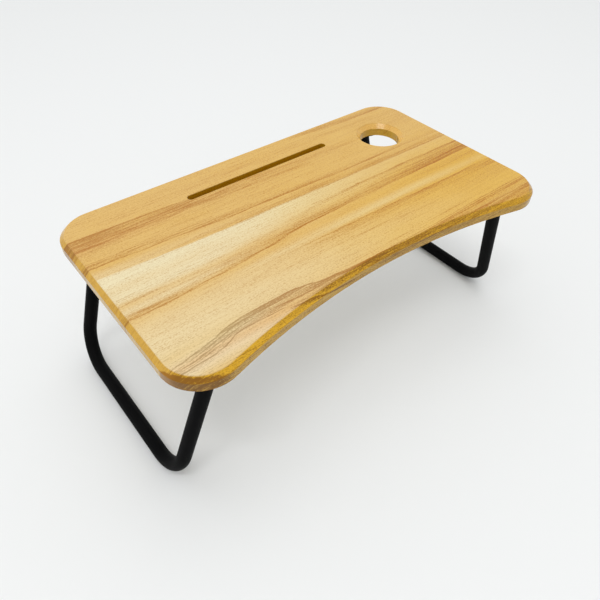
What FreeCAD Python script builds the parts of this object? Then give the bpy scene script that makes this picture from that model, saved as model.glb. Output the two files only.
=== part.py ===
import FreeCAD, Part
import os

import Sketcher
from FreeCAD import Placement, Rotation, Vector

# A folding laptop table: a belly-cut board on two U-bent tube legs that fold flat under it.
# +X is the user's right, +Y is away from the user, +Z is up. The origin is on the floor,
# under the middle of the board. All lengths are millimetres and all angles are degrees.

doc = FreeCAD.newDocument("laptop_table")

SIZES = (
    # The board
    ("table_height", 240.0, "floor to the top face"),
    ("board_length", 600.0, "left end to right end"),
    ("board_depth", 340.0, "back edge to the front corners"),
    ("board_thickness", 18.0, "top face to underside"),
    ("corner_radius", 50.0, "rounding of the four corners, seen from above"),
    ("belly_depth", 33.0, "how far the front edge curves in at the middle"),
    ("bevel_width", 6.5, "45 degree bevel round the top edge and the cup hole"),
    ("crease_radius", 0.8, "rounding of the film over the edges of a bevel"),
    ("rim_radius", 0.8, "rounding of the film over the rim of the groove"),
    ("foil_thickness", 0.5, "wood-grain film on the top and the edges"),
    ("backing_thickness", 0.6, "laminate on the underside"),
    # The tablet groove and the cup hole
    ("slot_length", 245.0, "end to end"),
    ("slot_width", 11.0, "front to back"),
    ("slot_depth", 8.0, "top face to the groove's floor"),
    ("slot_setback", 58.0, "back edge to the groove's middle line"),
    ("slot_offset", 3.5, "groove's middle to the left of the board's middle"),
    ("cup_hole_radius", 31.0, "upright wall of the cup hole"),
    ("cup_hole_side_inset", 90.0, "right end to the hole's centre"),
    ("cup_hole_back_inset", 88.0, "back edge to the hole's centre"),
    # The legs
    ("tube_diameter", 19.0, "outside of the leg tube"),
    ("tube_wall", 1.2, "wall of the leg tube"),
    ("bend_radius", 50.0, "bend of the tube's axis at a foot corner"),
    ("splay_angle", 17.0, "outward slope of an opened leg"),
    ("front_post_lean", 5.0, "how far the front post leans back, from pivot to foot"),
    ("back_post_lean", 2.0, "how far the back post leans back, from pivot to foot"),
    ("tube_overhang", 7.0, "tube end past the pivot"),
    ("plug_skirt_length", 1.8, "plug inside the tube"),
    ("plug_flange_height", 0.8, "straight rim of the plug"),
    ("plug_crown_height", 2.2, "domed top of the plug"),
    # The hinges
    ("hinge_inset", 55.0, "board end to the pivot"),
    ("back_hinge_setback", 15.5, "back edge to the back pivots"),
    ("front_hinge_setback", 40.0, "front corners to the front pivots, clear of the belly"),
    ("pin_drop", 14.7, "underside to the pivot"),
    ("bracket_sheet", 1.5, "pressed steel of the bracket"),
    ("ear_clearance", 2.0, "leg tube to an ear, for the washer and the lean of the post"),
    ("pivot_lobe_radius", 8.5, "ear round the pivot"),
    ("stop_lobe_radius", 5.8, "ear round the stop rivet"),
    ("stop_reach", 9.2, "pivot to the stop rivet, along the opened leg"),
    ("stop_gap", 0.3, "opened tube to the stop rivet"),
    ("fold_radius", 0.8, "inside of the fold between base and ear"),
    ("tongue_length", 36.0, "bracket base past the ears, towards the board's middle"),
    ("tongue_width", 22.0, "bracket base past the ears, front to back"),
    ("tongue_corner_radius", 6.0, "rounding of the base's free corners"),
    ("rivet_diameter", 5.0, "shank of the pivot and stop rivets"),
    ("rivet_head_diameter", 10.0, "domed head on the outer ear"),
    ("rivet_head_height", 2.0, "domed head on the outer ear"),
    ("peened_head_diameter", 8.0, "closed head on the inner ear"),
    ("peened_head_height", 1.5, "closed head on the inner ear"),
    ("sleeve_diameter", 8.0, "nylon sleeve through the tube"),
    ("washer_diameter", 13.0, "friction washer"),
    ("washer_thickness", 0.8, "friction washer"),
    # The bracket screws
    ("screw_length", 12.0, "under the head"),
    ("screw_diameter", 3.5, "shank"),
    ("screw_tip_length", 3.0, "pointed end"),
    ("screw_head_diameter", 7.0, "pan head"),
    ("screw_head_height", 2.2, "pan head"),
    ("screw_margin", 9.0, "ears to the first row of screws"),
    ("screw_pitch", 18.0, "between the two rows"),
    ("screw_gauge", 14.0, "between the two screws of a row"),
    # Clearances
    ("running_clearance", 0.08, "round a rivet that a leg turns on"),
    ("seat_clearance", 0.05, "round a fixed piece in its hole, and at a washer's face"),
    ("cut_overrun", 2.0, "how far a cut passes the piece it cuts"),
)

WORKED = (
    ("corner_x", "sizes.board_length / 2 - sizes.corner_radius", "corner centre, along"),
    ("corner_y", "sizes.board_depth / 2 - sizes.corner_radius", "corner centre, across"),
    ("belly_chord", "(corner_x ^ 2 + sizes.belly_depth ^ 2) / (2 * sizes.belly_depth)",
     "belly arc and corner rounding together"),
    ("belly_radius", "belly_chord - sizes.corner_radius", "arc that touches both front corners"),
    ("belly_y", "sizes.belly_depth - sizes.board_depth / 2 - belly_radius", "centre of the belly arc"),
    ("core_bevel", "sizes.bevel_width - (2 - sqrt(2)) * sizes.foil_thickness",
     "bevel of the fibreboard, under a film of even thickness"),
    ("slot_y", "sizes.board_depth / 2 - sizes.slot_setback", "groove's middle line"),
    ("slot_half", "(sizes.slot_length - sizes.slot_width) / 2", "groove's middle to a round end"),
    ("cup_x", "sizes.board_length / 2 - sizes.cup_hole_side_inset", "cup hole's centre, along"),
    ("cup_y", "sizes.board_depth / 2 - sizes.cup_hole_back_inset", "cup hole's centre, across"),
    ("underside", "sizes.table_height - sizes.board_thickness", "floor to the underside"),
    ("tube_radius", "sizes.tube_diameter / 2", "outside of the leg tube"),
    ("bore_radius", "tube_radius - sizes.tube_wall", "inside of the leg tube"),
    ("pin_x", "sizes.board_length / 2 - sizes.hinge_inset", "pivot, along"),
    ("pin_z", "underside - sizes.pin_drop", "pivot, above the floor"),
    ("leg_reach", "(pin_z - tube_radius) / cos(sizes.splay_angle)", "foot bar to pivot, along the leg"),
    ("foot_x", "pin_x + (pin_z - tube_radius) * tan(sizes.splay_angle)", "foot bar, along"),
    ("back_pin_y", "sizes.board_depth / 2 - sizes.back_hinge_setback", "back pivots, across"),
    ("front_pin_y", "sizes.front_hinge_setback - sizes.board_depth / 2", "front pivots, across"),
    ("leg_y", "(back_pin_y + front_pin_y) / 2", "leg's middle, across"),
    ("pivot_half", "(back_pin_y - front_pin_y) / 2", "leg's middle to a pivot"),
    ("front_foot", "pivot_half - leg_reach * tan(sizes.front_post_lean)",
     "leg's middle to the front foot corner"),
    ("back_foot", "pivot_half + leg_reach * tan(sizes.back_post_lean)",
     "leg's middle to the back foot corner"),
    ("stop_offset", "tube_radius + sizes.stop_gap + sizes.rivet_diameter / 2", "tube's axis to stop rivet"),
    ("stop_x", "sizes.stop_reach * sin(sizes.splay_angle) + stop_offset * cos(sizes.splay_angle)",
     "pivot to the stop rivet, outwards"),
    ("stop_drop", "sizes.stop_reach * cos(sizes.splay_angle) - stop_offset * sin(sizes.splay_angle)",
     "pivot to the stop rivet, down"),
    ("ear_gap", "sizes.tube_diameter + 2 * sizes.ear_clearance", "between the two ears"),
    ("bracket_width", "ear_gap + 2 * sizes.bracket_sheet", "over both ears"),
    ("base_face", "sizes.pin_drop - sizes.bracket_sheet", "pivot up to the bracket's base"),
    ("bracket_end", "stop_x + sizes.stop_lobe_radius", "pivot to the bracket's outer end"),
    ("tongue_end", "sizes.pivot_lobe_radius + sizes.tongue_length", "pivot to the bracket's inner end"),
    ("near_screw", "sizes.pivot_lobe_radius + sizes.screw_margin", "pivot to the first row of screws"),
    ("far_screw", "near_screw + sizes.screw_pitch", "pivot to the second row of screws"),
    ("screw_hole", "sizes.screw_diameter / 2 + sizes.seat_clearance", "radius of a screw's hole"),
    ("rivet_hole", "sizes.rivet_diameter / 2 + sizes.seat_clearance", "radius of an ear's hole"),
    ("turning_hole", "sizes.rivet_diameter / 2 + sizes.running_clearance", "radius of a turning bore"),
    ("sleeve_half", "ear_gap / 2 - sizes.washer_thickness - sizes.seat_clearance",
     "half a sleeve's length"),
    ("screw_reach", "sizes.screw_length - sizes.bracket_sheet", "how far a screw enters the board"),
)

# A sketch numbers the points of an element from one, and its own origin and axes from minus one down.
POINT_NAMES = ("start", "end", "centre")
START, END, CENTRE = range(1, 1 + len(POINT_NAMES))
ROOT = ACROSS_AXIS = -1
UP_AXIS = ROOT - 1
FULL_TURN = 360
UPRIGHT = Rotation()
ALONG_Y = Rotation(Vector(1, 0, 0), -FULL_TURN / 4)
ALONG_MINUS_Y = Rotation(Vector(1, 0, 0), FULL_TURN / 4)
TURNED_ROUND = Rotation(Vector(0, 0, 1), FULL_TURN / 2)
SIDES = {"left": -1, "right": 1}
ENDS = {"front": -1, "back": 1}
# For each end of a leg: its foot corner, and how far its post leans away from the leg's middle.
FOOT_CORNERS = {-1: "worked.front_foot", 1: "worked.back_foot"}
OUTWARD_LEANS = {-1: "sizes.front_post_lean", 1: "(-sizes.back_post_lean)"}
NEAR_SHARE = 0.01

nodes = {}


def fill_sheet(name, rows, sign=""):
    """A sheet with one named cell to a row; sign is "=" where the cells hold formulas."""
    sheet = doc.addObject("Spreadsheet::Sheet", name)
    for row, (alias, content, meaning) in enumerate(rows, start=1):
        sheet.set(f"A{row}", meaning)
        sheet.set(f"B{row}", f"{sign}{content}")
        sheet.setAlias(f"B{row}", alias)
    doc.recompute()
    return sheet


def number(expression):
    """The value of an expression over the two sheets."""
    return float(sizes.evalExpression(expression))


def new_body(label):
    body = doc.addObject("PartDesign::Body", label)
    body.Label = label
    return body


def sketch_on(body, name, role, lift="0"):
    """A sketch on one of the body's own origin planes, lifted along the plane's normal."""
    sketch = body.newObject("Sketcher::SketchObject", f"{body.Name}_{name}")
    plane = next(p for p in body.Origin.OriginFeatures if p.Role == role)
    sketch.AttachmentSupport = (plane, [""])
    sketch.MapMode = "FlatFace"
    sketch.setExpression("AttachmentOffset.Base.z", lift)
    return sketch


def bind(sketch, kind, where, expression):
    """A driving dimension of a sketch, bound to an expression."""
    index = sketch.addConstraint(Sketcher.Constraint(kind, *where, number(expression)))
    sketch.setExpression(f"Constraints[{index}]", expression)


def place(sketch, element, point, across, up):
    """Hold a point of an element at two expressions from the sketch's origin."""
    for kind, axis, expression in (("DistanceX", UP_AXIS, across), ("DistanceY", ACROSS_AXIS, up)):
        if expression == "0":
            sketch.addConstraint(Sketcher.Constraint("PointOnObject", element, point, axis))
        elif number(expression) > 0:
            bind(sketch, kind, (ROOT, START, element, point), expression)
        else:
            bind(sketch, kind, (element, point, ROOT, START), f"-({expression})")


def spot(across, up):
    return Vector(number(across), number(up), 0)


def circle(sketch, radius, across="0", up="0"):
    ring = Part.Circle(spot(across, up), Vector(0, 0, 1), number(radius))
    index = sketch.addGeometry(ring)
    bind(sketch, "Radius", (index,), radius)
    place(sketch, index, CENTRE, across, up)


def arc(sketch, centre, begin, end):
    """An arc drawn anticlockwise about a centre, from one point to another."""
    radius = centre.distanceToPoint(begin)
    angles = [Vector(1, 0, 0).getAngle(p - centre) * (1 if p.y >= centre.y else -1) for p in (begin, end)]
    return sketch.addGeometry(Part.ArcOfCircle(Part.Circle(centre, Vector(0, 0, 1), radius), *angles))


def line(sketch, begin, end):
    return sketch.addGeometry(Part.LineSegment(begin, end))


def touch(sketch, one, one_end, other, other_end):
    """Two elements that run smoothly into each other."""
    sketch.addConstraint(Sketcher.Constraint("Tangent", one, one_end, other, other_end))


def meet(sketch, one, one_end, other, other_end):
    sketch.addConstraint(Sketcher.Constraint("Coincident", one, one_end, other, other_end))


def level(sketch, *elements):
    for element in elements:
        sketch.addConstraint(Sketcher.Constraint("Horizontal", element))


def upright(sketch, *elements):
    for element in elements:
        sketch.addConstraint(Sketcher.Constraint("Vertical", element))


def polygon(sketch, corners):
    """A closed outline of straight sides through corners given as expressions."""
    points = [spot(*corner) for corner in corners]
    sides = [line(sketch, a, b) for a, b in zip(points, points[1:] + points[:1])]
    for side, following in zip(sides, sides[1:] + sides[:1]):
        meet(sketch, side, END, following, START)
    for side, corner in zip(sides, corners):
        place(sketch, side, START, *corner)


def feature(body, kind, sketch, length=None, both_ways=False, reverse=False):
    """A pad, or a pocket that goes through everything where no length is given."""
    made = body.newObject(f"PartDesign::{kind}", f"{sketch.Name}_{kind.lower()}")
    made.Profile = sketch
    made.SideType = "Symmetric" if both_ways else "One side"
    made.Reversed = reverse
    if length is None:
        made.Type = "ThroughAll"
    else:
        made.setExpression("Length", length)
    before = body.Shape.Volume if kind == "Pocket" else None
    doc.recompute()
    if before is not None and not body.Shape.Volume < before:
        raise RuntimeError(f"{made.Name} cuts nothing")
    return made


def seat(thing, along, across, up, rotation=UPRIGHT):
    """Place a finished piece, its position bound to three expressions."""
    thing.Placement = Placement(Vector(), rotation)
    for axis, expression in zip("xyz", (along, across, up)):
        thing.setExpression(f"Placement.Base.{axis}", expression)


def keep(name, thing):
    thing.Label = name
    nodes[name] = thing


def group(name, members):
    """Identical small pieces that share one node, each a solid of its own."""
    bundle = doc.addObject("Part::Compound", name)
    bundle.Links = members
    keep(name, bundle)


def turned(label, corners, crowned=()):
    """A round piece turned about its own Z axis.

    The corners run anticlockwise, in pairs of radius and height. A side whose number is in
    crowned is an arc centred on the axis, as on a domed head.
    """
    body = new_body(label)
    sketch = sketch_on(body, "section", "XZ_Plane")
    points = [spot(*corner) for corner in corners]
    sides = []
    for index, (a, b) in enumerate(zip(points, points[1:] + points[:1])):
        if index in crowned:
            height = (b.y ** 2 + b.x ** 2 - a.y ** 2 - a.x ** 2) / (2 * (b.y - a.y))
            sides.append(arc(sketch, Vector(0, height, 0), a, b))
            sketch.addConstraint(Sketcher.Constraint("PointOnObject", sides[-1], CENTRE, UP_AXIS))
        else:
            sides.append(line(sketch, a, b))
    for side, following in zip(sides, sides[1:] + sides[:1]):
        meet(sketch, side, END, following, START)
    for side, corner in zip(sides, corners):
        place(sketch, side, START, *corner)
    spin = body.newObject("PartDesign::Revolution", f"{label}_turned")
    spin.Profile = sketch
    spin.ReferenceAxis = (sketch, ["V_Axis"])
    spin.Angle = FULL_TURN
    doc.recompute()
    return body


def ring(label, outer, inner, half):
    """A plain ring about its own Z axis, the same to both sides of its middle."""
    return turned(label, ((inner, f"-{half}"), (outer, f"-{half}"), (outer, half), (inner, half)))


def board_outline(sketch, inset):
    """The belly-cut outline, drawn inwards by an inset."""
    radius = f"sizes.corner_radius - {inset}"
    reach = f"sizes.board_length / 2 - {inset}"
    belly = f"worked.belly_radius + {inset}"
    back = f"sizes.board_depth / 2 - {inset}"
    x, y = number("worked.corner_x"), number("worked.corner_y")
    r, half, top = number(radius), number(reach), number(back)
    middle = Vector(0, number("worked.belly_y"), 0)
    front_left, front_right = Vector(-x, -y, 0), Vector(x, -y, 0)
    touch_left = front_left + (middle - front_left).normalize() * r
    touch_right = front_right + (middle - front_right).normalize() * r
    back_side = line(sketch, Vector(x, top, 0), Vector(-x, top, 0))
    back_left = arc(sketch, Vector(-x, y, 0), Vector(-x, top, 0), Vector(-half, y, 0))
    left_side = line(sketch, Vector(-half, y, 0), Vector(-half, -y, 0))
    left_foot = arc(sketch, front_left, Vector(-half, -y, 0), touch_left)
    belly_arc = arc(sketch, middle, touch_right, touch_left)
    right_foot = arc(sketch, front_right, touch_right, Vector(half, -y, 0))
    right_side = line(sketch, Vector(half, -y, 0), Vector(half, y, 0))
    back_right = arc(sketch, Vector(x, y, 0), Vector(half, y, 0), Vector(x, top, 0))
    touch(sketch, back_side, END, back_left, START)
    touch(sketch, back_left, END, left_side, START)
    touch(sketch, left_side, END, left_foot, START)
    touch(sketch, left_foot, END, belly_arc, END)
    touch(sketch, belly_arc, START, right_foot, START)
    touch(sketch, right_foot, END, right_side, START)
    touch(sketch, right_side, END, back_right, START)
    touch(sketch, back_right, END, back_side, START)
    level(sketch, back_side)
    upright(sketch, left_side, right_side)
    for corner in (back_right, left_foot, right_foot):
        sketch.addConstraint(Sketcher.Constraint("Equal", back_left, corner))
    bind(sketch, "Radius", (back_left,), radius)
    bind(sketch, "Radius", (belly_arc,), belly)
    bind(sketch, "DistanceX", (left_side, START, ROOT, START), reach)
    bind(sketch, "DistanceX", (ROOT, START, right_side, START), reach)
    bind(sketch, "DistanceY", (ROOT, START, back_side, START), back)
    for foot in (left_foot, right_foot):
        bind(sketch, "DistanceY", (foot, CENTRE, ROOT, START), "worked.corner_y")


def slot_outline(sketch, inset):
    """The groove's outline with its two round ends, drawn outwards by an inset."""
    radius = f"sizes.slot_width / 2 + {inset}"
    left = "-(sizes.slot_offset + worked.slot_half)"
    right = "worked.slot_half - sizes.slot_offset"
    a, b, r = spot(left, "worked.slot_y"), spot(right, "worked.slot_y"), Vector(0, number(radius), 0)
    front_side = line(sketch, a - r, b - r)
    right_end = arc(sketch, b, b - r, b + r)
    back_side = line(sketch, b + r, a + r)
    left_end = arc(sketch, a, a + r, a - r)
    chain = [front_side, right_end, back_side, left_end]
    for element, following in zip(chain, chain[1:] + chain[:1]):
        touch(sketch, element, END, following, START)
    level(sketch, front_side, back_side)
    bind(sketch, "Radius", (right_end,), radius)
    place(sketch, left_end, CENTRE, left, "worked.slot_y")
    bind(sketch, "DistanceX", (ROOT, START, right_end, CENTRE), right)


def edges_near(body, test):
    """Names of the edges of a body whose box passes a test, given how near counts as equal."""
    near = number("sizes.bracket_sheet") * NEAR_SHARE
    edges = enumerate(body.Tip.Shape.Edges, start=1)
    return [f"Edge{index}" for index, edge in edges if test(edge.BoundBox, near)]


def level_edges(body, height, middle="0", width="sizes.board_depth"):
    """The edges that lie level at one height, within a strip along X."""
    level_at, strip_at, reach = number(height), number(middle), number(width) / 2
    return edges_near(body, lambda box, near: abs(box.ZMin - level_at) + abs(box.ZMax - level_at) < near
                      and max(strip_at - box.YMin, box.YMax - strip_at) < reach + near)


def round_off(body, name, edges, radius):
    """Round the named edges of a body's newest feature."""
    rounding = body.newObject("PartDesign::Fillet", f"{body.Name}_{name}")
    rounding.Base = (rounding.BaseFeature, edges)
    rounding.setExpression("Radius", radius)
    doc.recompute()


def board_blank(label, inset, floor, bevel_size, rounded=False):
    """The board's form drawn inwards by an inset, standing on a floor above the underside."""
    body = new_body(label)
    top = f"sizes.board_thickness - {inset}"
    outline = sketch_on(body, "outline", "XY_Plane", floor)
    board_outline(outline, inset)
    feature(body, "Pad", outline, f"{top} - {floor}")
    cup = sketch_on(body, "cup_hole", "XY_Plane", top)
    circle(cup, f"sizes.cup_hole_radius + {inset}", "worked.cup_x", "worked.cup_y")
    pierced = feature(body, "Pocket", cup)
    highest = max(range(len(pierced.Shape.Faces)), key=lambda i: pierced.Shape.Faces[i].CenterOfMass.z)
    bevel = body.newObject("PartDesign::Chamfer", f"{label}_bevel")
    bevel.Base = (pierced, [f"Face{highest + 1}"])
    bevel.setExpression("Size", bevel_size)
    doc.recompute()
    if rounded:
        creases = level_edges(body, top) + level_edges(body, f"{top} - {bevel_size}")
        round_off(body, "creases", creases, "sizes.crease_radius")
    slot = sketch_on(body, "slot", "XY_Plane", top)
    slot_outline(slot, inset)
    feature(body, "Pocket", slot, "sizes.slot_depth")
    if rounded:
        rim = level_edges(body, top, "worked.slot_y", "sizes.slot_width")
        round_off(body, "slot_rim", rim, "sizes.rim_radius")
    seat(body, "0", "0", "worked.underside")
    return body


def hinge_y(end):
    return "worked.back_pin_y" if end > 0 else "worked.front_pin_y"


def screw_rows():
    """Screw places of one bracket, as distances inwards and across from its pivot."""
    for inward in ("worked.near_screw", "worked.far_screw"):
        for sign in (-1, 1):
            yield inward, f"{sign} * sizes.screw_gauge / 2"


def screw_places():
    """Every bracket screw's place on the underside."""
    for side in SIDES.values():
        for end in ENDS.values():
            for inward, across in screw_rows():
                yield f"{side} * (worked.pin_x - {inward})", f"{hinge_y(end)} + {across}"


def drill_board(body, floor, depth=None):
    """Holes for all the bracket screws, from a floor upwards, or right through."""
    holes = sketch_on(body, "screw_holes", "XY_Plane", floor)
    for along, across in screw_places():
        circle(holes, "worked.screw_hole", along, across)
    feature(body, "Pocket", holes, depth, both_ways=depth is None, reverse=depth is not None)


def make_core():
    """The fibreboard, with blind holes for the bracket screws."""
    core = board_blank("core", "sizes.foil_thickness", "sizes.backing_thickness", "worked.core_bevel")
    depth = "worked.screw_reach - sizes.backing_thickness + sizes.seat_clearance"
    drill_board(core, "sizes.backing_thickness", depth)
    keep("mdf_core", core)


def make_foil():
    """The wood-grain film: the board's outer form, its edges rounded, less everything under the film."""
    skin = doc.addObject("Part::Cut", "foil")
    skin.Base = board_blank("foil_outside", "0", "0", "sizes.bevel_width", rounded=True)
    skin.Tool = board_blank("foil_inside", "sizes.foil_thickness", "0", "worked.core_bevel")
    doc.recompute()
    keep("wood_grain_foil", skin)


def make_backing():
    """The laminate on the underside, inside the rim of the film."""
    sheet = new_body("backing")
    outline = sketch_on(sheet, "outline", "XY_Plane")
    board_outline(outline, "sizes.foil_thickness")
    circle(outline, "sizes.cup_hole_radius + sizes.foil_thickness", "worked.cup_x", "worked.cup_y")
    feature(sheet, "Pad", outline, "sizes.backing_thickness")
    drill_board(sheet, "0")
    seat(sheet, "0", "0", "worked.underside")
    keep("backing_sheet", sheet)


def ear_outline(sketch):
    """One ear, seen along the pivot: a straight top, and a rounded lobe about each rivet."""
    top, stop_x, stop_z = number("sizes.pin_drop"), number("worked.stop_x"), -number("worked.stop_drop")
    inner, outer = number("sizes.pivot_lobe_radius"), number("sizes.stop_lobe_radius")
    pivot, stop = Vector(), Vector(stop_x, stop_z, 0)
    right = stop_x + outer
    along = (stop - pivot).normalize()
    share = (inner - outer) / (stop - pivot).Length
    away = along * share + Vector(along.y, -along.x, 0) * (1 - share ** 2) ** 0.5
    under_pivot, under_stop = pivot + away * inner, stop + away * outer
    top_side = line(sketch, Vector(right, top, 0), Vector(-inner, top, 0))
    inner_side = line(sketch, Vector(-inner, top, 0), Vector(-inner, 0, 0))
    pivot_lobe = arc(sketch, pivot, Vector(-inner, 0, 0), under_pivot)
    lower_side = line(sketch, under_pivot, under_stop)
    stop_lobe = arc(sketch, stop, under_stop, Vector(right, stop_z, 0))
    outer_side = line(sketch, Vector(right, stop_z, 0), Vector(right, top, 0))
    meet(sketch, top_side, END, inner_side, START)
    touch(sketch, inner_side, END, pivot_lobe, START)
    touch(sketch, pivot_lobe, END, lower_side, START)
    touch(sketch, lower_side, END, stop_lobe, START)
    touch(sketch, stop_lobe, END, outer_side, START)
    meet(sketch, outer_side, END, top_side, START)
    level(sketch, top_side)
    upright(sketch, inner_side, outer_side)
    bind(sketch, "Radius", (pivot_lobe,), "sizes.pivot_lobe_radius")
    bind(sketch, "Radius", (stop_lobe,), "sizes.stop_lobe_radius")
    meet(sketch, pivot_lobe, CENTRE, ROOT, START)
    place(sketch, stop_lobe, CENTRE, "worked.stop_x", "-worked.stop_drop")
    bind(sketch, "DistanceY", (ROOT, START, top_side, START), "sizes.pin_drop")


def fold_edges(body, height, across):
    """The edges along X at one height, on both sides of the middle."""
    level_at, side_at = number(height), number(across)
    return edges_near(body, lambda box, near: abs(box.ZMin - level_at) + abs(box.ZMax - level_at) < near
                      and abs(abs(box.YMin) - side_at) + box.YLength < near)


def corner_edges(body, along, across):
    """The upright edges at one end, on both sides of the middle."""
    end_at, side_at = number(along), number(across)
    return edges_near(body, lambda box, near: abs(box.XMin - end_at) + box.XLength < near
                      and abs(abs(box.YMin) - side_at) + box.YLength < near)


def make_bracket(name, side, end):
    """A pressed channel: two ears about the tube end, and a tongue that is screwed to the board."""
    body = new_body(f"{name}_bracket")
    ears = sketch_on(body, "ears", "XZ_Plane")
    ear_outline(ears)
    feature(body, "Pad", ears, "worked.bracket_width", both_ways=True)
    channel = sketch_on(body, "channel", "XZ_Plane")
    low = "-(worked.stop_drop + sizes.stop_lobe_radius + sizes.cut_overrun)"
    left = "-(sizes.pivot_lobe_radius + sizes.cut_overrun)"
    right, high = "worked.bracket_end + sizes.cut_overrun", "worked.base_face"
    polygon(channel, ((left, low), (right, low), (right, high), (left, high)))
    feature(body, "Pocket", channel, "worked.ear_gap", both_ways=True)
    inside = fold_edges(body, "worked.base_face", "worked.ear_gap / 2")
    round_off(body, "inner_folds", inside, "sizes.fold_radius")
    outside = fold_edges(body, "sizes.pin_drop", "worked.bracket_width / 2")
    round_off(body, "outer_folds", outside, "sizes.fold_radius + sizes.bracket_sheet")
    tongue = sketch_on(body, "tongue", "XY_Plane", "worked.base_face")
    inner, half = "-worked.tongue_end", "sizes.tongue_width / 2"
    polygon(tongue, ((inner, f"-{half}"), ("0", f"-{half}"), ("0", half), (inner, half)))
    feature(body, "Pad", tongue, "sizes.bracket_sheet")
    round_off(body, "corners", corner_edges(body, inner, half), "sizes.tongue_corner_radius")
    holes = sketch_on(body, "screw_holes", "XY_Plane", "worked.base_face")
    for inward, across in screw_rows():
        circle(holes, "worked.screw_hole", f"-{inward}", across)
    feature(body, "Pocket", holes, both_ways=True)
    bores = sketch_on(body, "rivet_holes", "XZ_Plane")
    circle(bores, "worked.rivet_hole")
    circle(bores, "worked.rivet_hole", "worked.stop_x", "-worked.stop_drop")
    feature(body, "Pocket", bores, both_ways=True)
    turn = UPRIGHT if side > 0 else TURNED_ROUND
    seat(body, f"{side} * worked.pin_x", hinge_y(end), "worked.pin_z", turn)
    keep(f"{name}_hinge_bracket", body)


def make_rivet(name, label, side, end, outward, drop):
    """A rivet across both ears: a domed head outside, a smaller closed head inside."""
    shank, head, peened = (f"sizes.{part}_diameter / 2" for part in ("rivet", "rivet_head", "peened_head"))
    ear = "worked.bracket_width / 2"
    corners = (
        ("0", f"-({ear} + sizes.peened_head_height)"),
        (peened, f"-{ear}"),
        (shank, f"-{ear}"),
        (shank, ear),
        (head, ear),
        ("0", f"{ear} + sizes.rivet_head_height"),
    )
    rivet = turned(f"{name}_{label}", corners, crowned=(0, 4))
    turn = ALONG_Y if end > 0 else ALONG_MINUS_Y
    seat(rivet, f"{side} * (worked.pin_x + {outward})", hinge_y(end), f"worked.pin_z - {drop}", turn)
    keep(f"{name}_{label}", rivet)


def make_screws(name, side, end):
    """Four pan-head wood screws up through a bracket's base into the board."""
    shank, head = "sizes.screw_diameter / 2", "sizes.screw_head_diameter / 2"
    corners = (
        ("0", "-sizes.screw_head_height"),
        (head, "0"),
        (shank, "0"),
        (shank, "sizes.screw_length - sizes.screw_tip_length"),
        ("0", "sizes.screw_length"),
    )
    screws = []
    for count, (inward, across) in enumerate(screw_rows()):
        screw = turned(f"{name}_screw_{count}", corners, crowned=(0,))
        x, y = f"{side} * (worked.pin_x - {inward})", f"{hinge_y(end)} + {across}"
        seat(screw, x, y, "worked.underside - sizes.bracket_sheet")
        screws.append(screw)
    group(f"{name}_bracket_screws", screws)


def make_sleeve(name, side, end):
    """The sleeve that lines the drilled tube end and turns on the pivot rivet."""
    outside = "sizes.sleeve_diameter / 2"
    sleeve = ring(f"{name}_sleeve", outside, "worked.turning_hole", "worked.sleeve_half")
    seat(sleeve, f"{side} * worked.pin_x", hinge_y(end), "worked.pin_z", ALONG_Y)
    keep(f"{name}_pivot_sleeve", sleeve)


def make_washers(name, side, end):
    """A washer at each end of the sleeve, against the ears."""
    washers = []
    for count, way in enumerate((-1, 1)):
        washer = ring(f"{name}_washer_{count}", "sizes.washer_diameter / 2", "worked.turning_hole",
                      "sizes.washer_thickness / 2")
        middle = "(worked.sleeve_half + sizes.washer_thickness / 2)"
        seat(washer, f"{side} * worked.pin_x", f"{hinge_y(end)} + {way} * {middle}", "worked.pin_z", ALONG_Y)
        washers.append(washer)
    group(f"{name}_friction_washers", washers)


def make_plug(name, side, end):
    """The plug in the tube's upper end: a skirt inside the tube, a flush rim and a low crown."""
    skirt, rim = "worked.bore_radius - sizes.seat_clearance", "worked.tube_radius"
    tube_end = "sizes.tube_overhang"
    shoulder = f"{tube_end} + sizes.plug_flange_height"
    corners = (
        ("0", f"{tube_end} - sizes.plug_skirt_length"),
        (skirt, f"{tube_end} - sizes.plug_skirt_length"),
        (skirt, tube_end),
        (rim, tube_end),
        (rim, shoulder),
        ("0", f"{shoulder} + sizes.plug_crown_height"),
    )
    plug = turned(f"{name}_plug", corners, crowned=(4,))
    splay = Rotation(Vector(0, -side, 0), number("sizes.splay_angle"))
    lean = Rotation(Vector(-end, 0, 0), number(OUTWARD_LEANS[end]))
    seat(plug, f"{side} * worked.pin_x", hinge_y(end), "worked.pin_z", splay * lean)
    keep(f"{name}_tube_plug", plug)


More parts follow.
